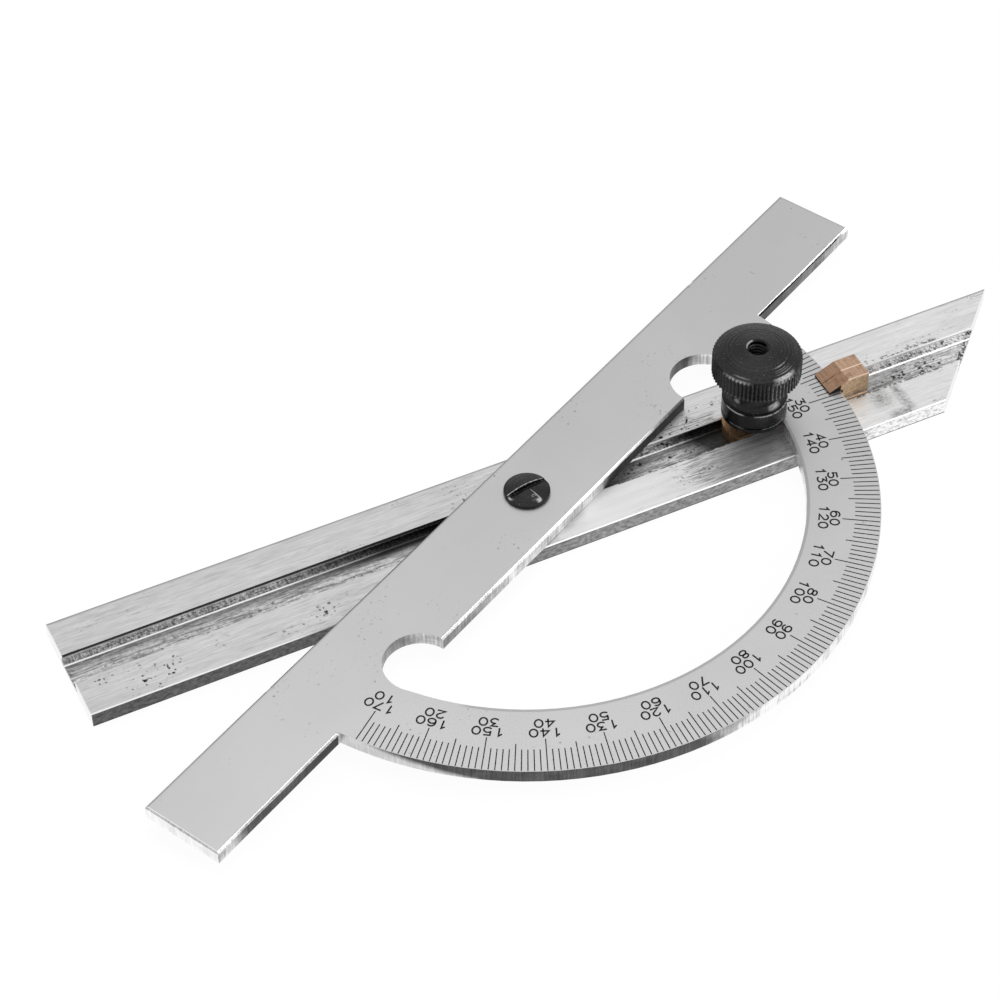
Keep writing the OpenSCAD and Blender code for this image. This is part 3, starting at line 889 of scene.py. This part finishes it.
def add_number(bm, degree, text, foot_radius, strokes):
    """Adds a number whose foot lies on a radius at a degree of the scale."""
    out, along = scale_axes(degree)
    for i, digit in enumerate(text):
        middle = out * foot_radius + along * (i - (len(text) - 1) / 2) * DIGIT_STEP
        for path, closed in strokes[digit]:
            placed = [middle + (along * u + out * v) * MM for u, v in path]
            add_stroke(bm, distinct(placed, closed), closed, DIGIT_STROKE / 2)


def scale_numbers(material):
    """The two rows of numbers, which count from either end of the scale."""
    bm = bmesh.new()
    strokes = digit_strokes()
    for degree in range(FIRST_DEGREE, LAST_DEGREE + 1, 10):
        add_number(bm, degree, str(degree), OUTER_ROW, strokes)
        add_number(bm, degree, str(HALF_TURN - degree), INNER_ROW, strokes)
    return new_piece("scale_numbers", finished_mesh("scale_numbers", bm), material, "plate")


def scale_marks(material):
    """A mark at each degree, longer at each fifth and longest at each tenth."""
    bm = bmesh.new()
    for degree in range(FIRST_DEGREE, LAST_DEGREE + 1):
        step = next(s for s in MARK_INNER if degree % s == 0)
        out, along = scale_axes(degree)
        side = along * (MARK_WIDTH / 2)
        ends = (out * MARK_INNER[step], out * MARK_OUTER)
        add_prism(bm, [ends[0] + side, ends[1] + side, ends[1] - side, ends[0] - side])
    return new_piece("scale_marks", finished_mesh("scale_marks", bm), material, "plate")


def knob_section():
    """The knob's half section as (radius, z, share of the knurl's depth), from the bore's foot outwards."""
    base = knob_low.z
    collar_top = base + COLLAR_HEIGHT
    head_low = collar_top + NECK_HEIGHT
    rim = head_low + HEAD_HEIGHT
    points = [
        (BORE_RADIUS, base, 0), (COLLAR_RADIUS - COLLAR_FOOT_BEVEL, base, 0),
        (COLLAR_RADIUS, base + COLLAR_FOOT_BEVEL, 0), (COLLAR_RADIUS, collar_top - COLLAR_TOP_BEVEL, 0),
        (COLLAR_RADIUS - COLLAR_TOP_BEVEL, collar_top, 0),
    ]
    for i in range(COVE_STEPS + 1):
        angle = math.radians(90 * i / COVE_STEPS)
        radius = COVE_RADIUS - (COVE_RADIUS - NECK_RADIUS) * math.sin(angle)
        points.append((radius, collar_top + COVE_HEIGHT * (1 - math.cos(angle)), 0))
    crown = HEAD_RADIUS - HEAD_RIM_INSET
    points += [
        (NECK_RADIUS, head_low, 0), (HEAD_RADIUS - HEAD_FOOT_INSET, head_low, 0),
        (HEAD_RADIUS, head_low + HEAD_FOOT_RISE, 1), (HEAD_RADIUS, rim - HEAD_RIM_DROP, 1), (crown, rim, 0),
    ]
    rise = (KNOB_TOP - rim) / (1 - (MOUTH_RADIUS / crown) ** 2)
    dome_radius = crown - DOME_INSET
    for i in range(DOME_STEPS + 1):
        radius = dome_radius + (MOUTH_RADIUS - dome_radius) * i / DOME_STEPS
        points.append((radius, rim + rise * (1 - (radius / crown) ** 2), 0))
    points.append((BORE_RADIUS, KNOB_TOP - (MOUTH_RADIUS - BORE_RADIUS), 0))
    return points


def knob_body(material):
    """The knob turned and knurled, with a hollow neck and the head's edges just broken."""
    bm = bmesh.new()
    steps = KNURL_RIDGES * len(KNURL_TOOTH)
    rings = []
    for radius, z, share in knob_section():
        ring = []
        for i in range(steps):
            angle = 2 * math.pi * i / steps
            reach = radius - KNURL_DEPTH * share * KNURL_TOOTH[i % len(KNURL_TOOTH)]
            ring.append(bm.verts.new((CLAMP_X + reach * math.cos(angle), reach * math.sin(angle), z)))
        rings.append(ring)
    for low, high in zip(rings, rings[1:] + rings[:1]):
        for i in range(steps):
            k = (i + 1) % steps
            bm.faces.new((low[i], low[k], high[k], high[i]))
    mesh = finished_mesh("knob_body", bm)
    mesh.shade_smooth()
    mesh.set_sharp_from_angle(angle=math.radians(SHARP_ANGLE))
    piece = new_piece("knob_body", mesh, material, "knob")
    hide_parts("clamp_knob")
    return piece


def knob_thread(material):
    """The thread that shows in the knob's bore above the stud, as a ridge wound along a helix."""
    bm = bmesh.new()
    rings = []
    count = int((THREAD_TOP - THREAD_FOOT) / THREAD_PITCH * THREAD_STEPS)
    for i in range(count + 1):
        angle = 2 * math.pi * i / THREAD_STEPS
        z = THREAD_FOOT + THREAD_PITCH * i / THREAD_STEPS
        ring = []
        for radius, rise in ((THREAD_BORE, -THREAD_RISE), (THREAD_CREST, 0.0), (THREAD_BORE, THREAD_RISE)):
            place = (CLAMP_X + radius * math.cos(angle), radius * math.sin(angle), z + rise)
            ring.append(bm.verts.new(place))
        rings.append(ring)
    for a, b in zip(rings, rings[1:]):
        for i in range(3):
            bm.faces.new((a[i], a[(i + 1) % 3], b[(i + 1) % 3], b[i]))
    bm.faces.new(rings[0])
    bm.faces.new(rings[-1])
    return new_piece("knob_thread", finished_mesh("knob_thread", bm), material, "knob")


def floor_finish():
    """White for the camera and for reflections, with the object's own soft shadow kept."""
    f = Finish("floor_white")
    path = f.add("ShaderNodeLightPath")
    seen = f.math("MAXIMUM", path.outputs["Is Camera Ray"], path.outputs["Is Glossy Ray"])
    seen = f.math("MAXIMUM", seen, path.outputs["Is Transmission Ray"])
    paper = f.add("ShaderNodeBsdfDiffuse")
    paper.inputs["Color"].default_value = (FLOOR_GREY, FLOOR_GREY, FLOOR_GREY, 1.0)
    glow = f.add("ShaderNodeEmission")
    glow.inputs["Strength"].default_value = FLOOR_GLOW
    blend = f.add("ShaderNodeMixShader")
    f.feed(blend.inputs[0], f.math("MULTIPLY", seen, FLOOR_HIDDEN))
    f.feed(blend.inputs[1], paper.outputs[0])
    f.feed(blend.inputs[2], glow.outputs[0])
    f.feed(f.surface, blend.outputs[0])
    return f.material


def make_floor():
    """A wide white floor that the rail lies on."""
    bm = bmesh.new()
    corners = ((-1, -1), (1, -1), (1, 1), (-1, 1))
    bm.faces.new([bm.verts.new((x * FLOOR_REACH, y * FLOOR_REACH, 0.0)) for x, y in corners])
    mesh = finished_mesh("floor", bm)
    mesh.materials.append(floor_finish())
    floor = bpy.data.objects.new("floor", mesh)
    bpy.context.scene.collection.objects.link(floor)


def make_world():
    """White where it is seen or mirrored, and an even soft light elsewhere."""
    world = bpy.data.worlds.new("studio")
    world.use_nodes = True
    bpy.context.scene.world = world
    tree = world.node_tree
    tree.nodes.clear()
    output = tree.nodes.new("ShaderNodeOutputWorld")
    path = tree.nodes.new("ShaderNodeLightPath")
    seen = path.outputs["Is Camera Ray"]
    for kind in ("Is Glossy Ray", "Is Transmission Ray"):
        either = tree.nodes.new("ShaderNodeMath")
        either.operation = "MAXIMUM"
        tree.links.new(seen, either.inputs[0])
        tree.links.new(path.outputs[kind], either.inputs[1])
        seen = either.outputs[0]
    strength = tree.nodes.new("ShaderNodeMapRange")
    tree.links.new(seen, strength.inputs["Value"])
    strength.inputs["To Min"].default_value = WORLD_LIGHT
    strength.inputs["To Max"].default_value = 1.0
    background = tree.nodes.new("ShaderNodeBackground")
    tree.links.new(strength.outputs[0], background.inputs["Strength"])
    tree.links.new(background.outputs[0], output.inputs["Surface"])


def soft_light(name, place, size, watts):
    """A square soft light that looks at the object's middle."""
    data = bpy.data.lights.new(name, "AREA")
    data.shape = "SQUARE"
    data.size = size
    data.energy = watts
    lamp = bpy.data.objects.new(name, data)
    lamp.location = place
    lamp.rotation_mode = "QUATERNION"
    lamp.rotation_quaternion = Vector(place).to_track_quat("Z", "Y")
    bpy.context.scene.collection.objects.link(lamp)


def make_camera():
    """The camera that took the photograph, solved from the degree marks."""
    data = bpy.data.cameras.new("camera")
    data.sensor_width = SENSOR_MM
    data.lens = LENS_MM
    data.clip_start, data.clip_end = NEAREST, FARTHEST
    camera = bpy.data.objects.new("camera", data)
    camera.location = CAMERA_PLACE
    camera.rotation_euler = [math.radians(v) for v in CAMERA_TURN]
    bpy.context.scene.collection.objects.link(camera)
    bpy.context.scene.camera = camera


def dress_nodes(finishes):
    """Gives each CAD node that stays in view its finish."""
    for node, material in finishes.items():
        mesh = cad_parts[node].data
        mesh.materials.clear()
        mesh.materials.append(material)


make_camera()
steel = rail_finish()
black = black_finish(
    "black_steel_knob", (CLAMP_X, 0.0), KNOB_RING_PITCH, KNOB_RING_HIGHLIGHTS, KNOB_GLEAMS, crest=KNURL_CREST)
dress_nodes({
    "protractor_plate": plate_finish(),
    "pivot_nut": steel,
    "pivot_screw": black_finish(
        "black_steel_screw", (0.0, 0.0), SCREW_RING_PITCH, gleams=SCREW_GLEAMS, slot=SCREW_SLOT),
    "index_slide": slide_finish(),
    "clamp_stud": black,
    "clamp_washer": black,
})
rail_bar(steel)
ink = ink_finish()
scale_marks(ink)
scale_numbers(ink)
knob_body(black)
knob_thread(black)

make_floor()
make_world()
for name, (place, size, watts) in LIGHTS.items():
    soft_light(name, place, size, watts)

bpy.context.scene.view_settings.view_transform = "Standard"
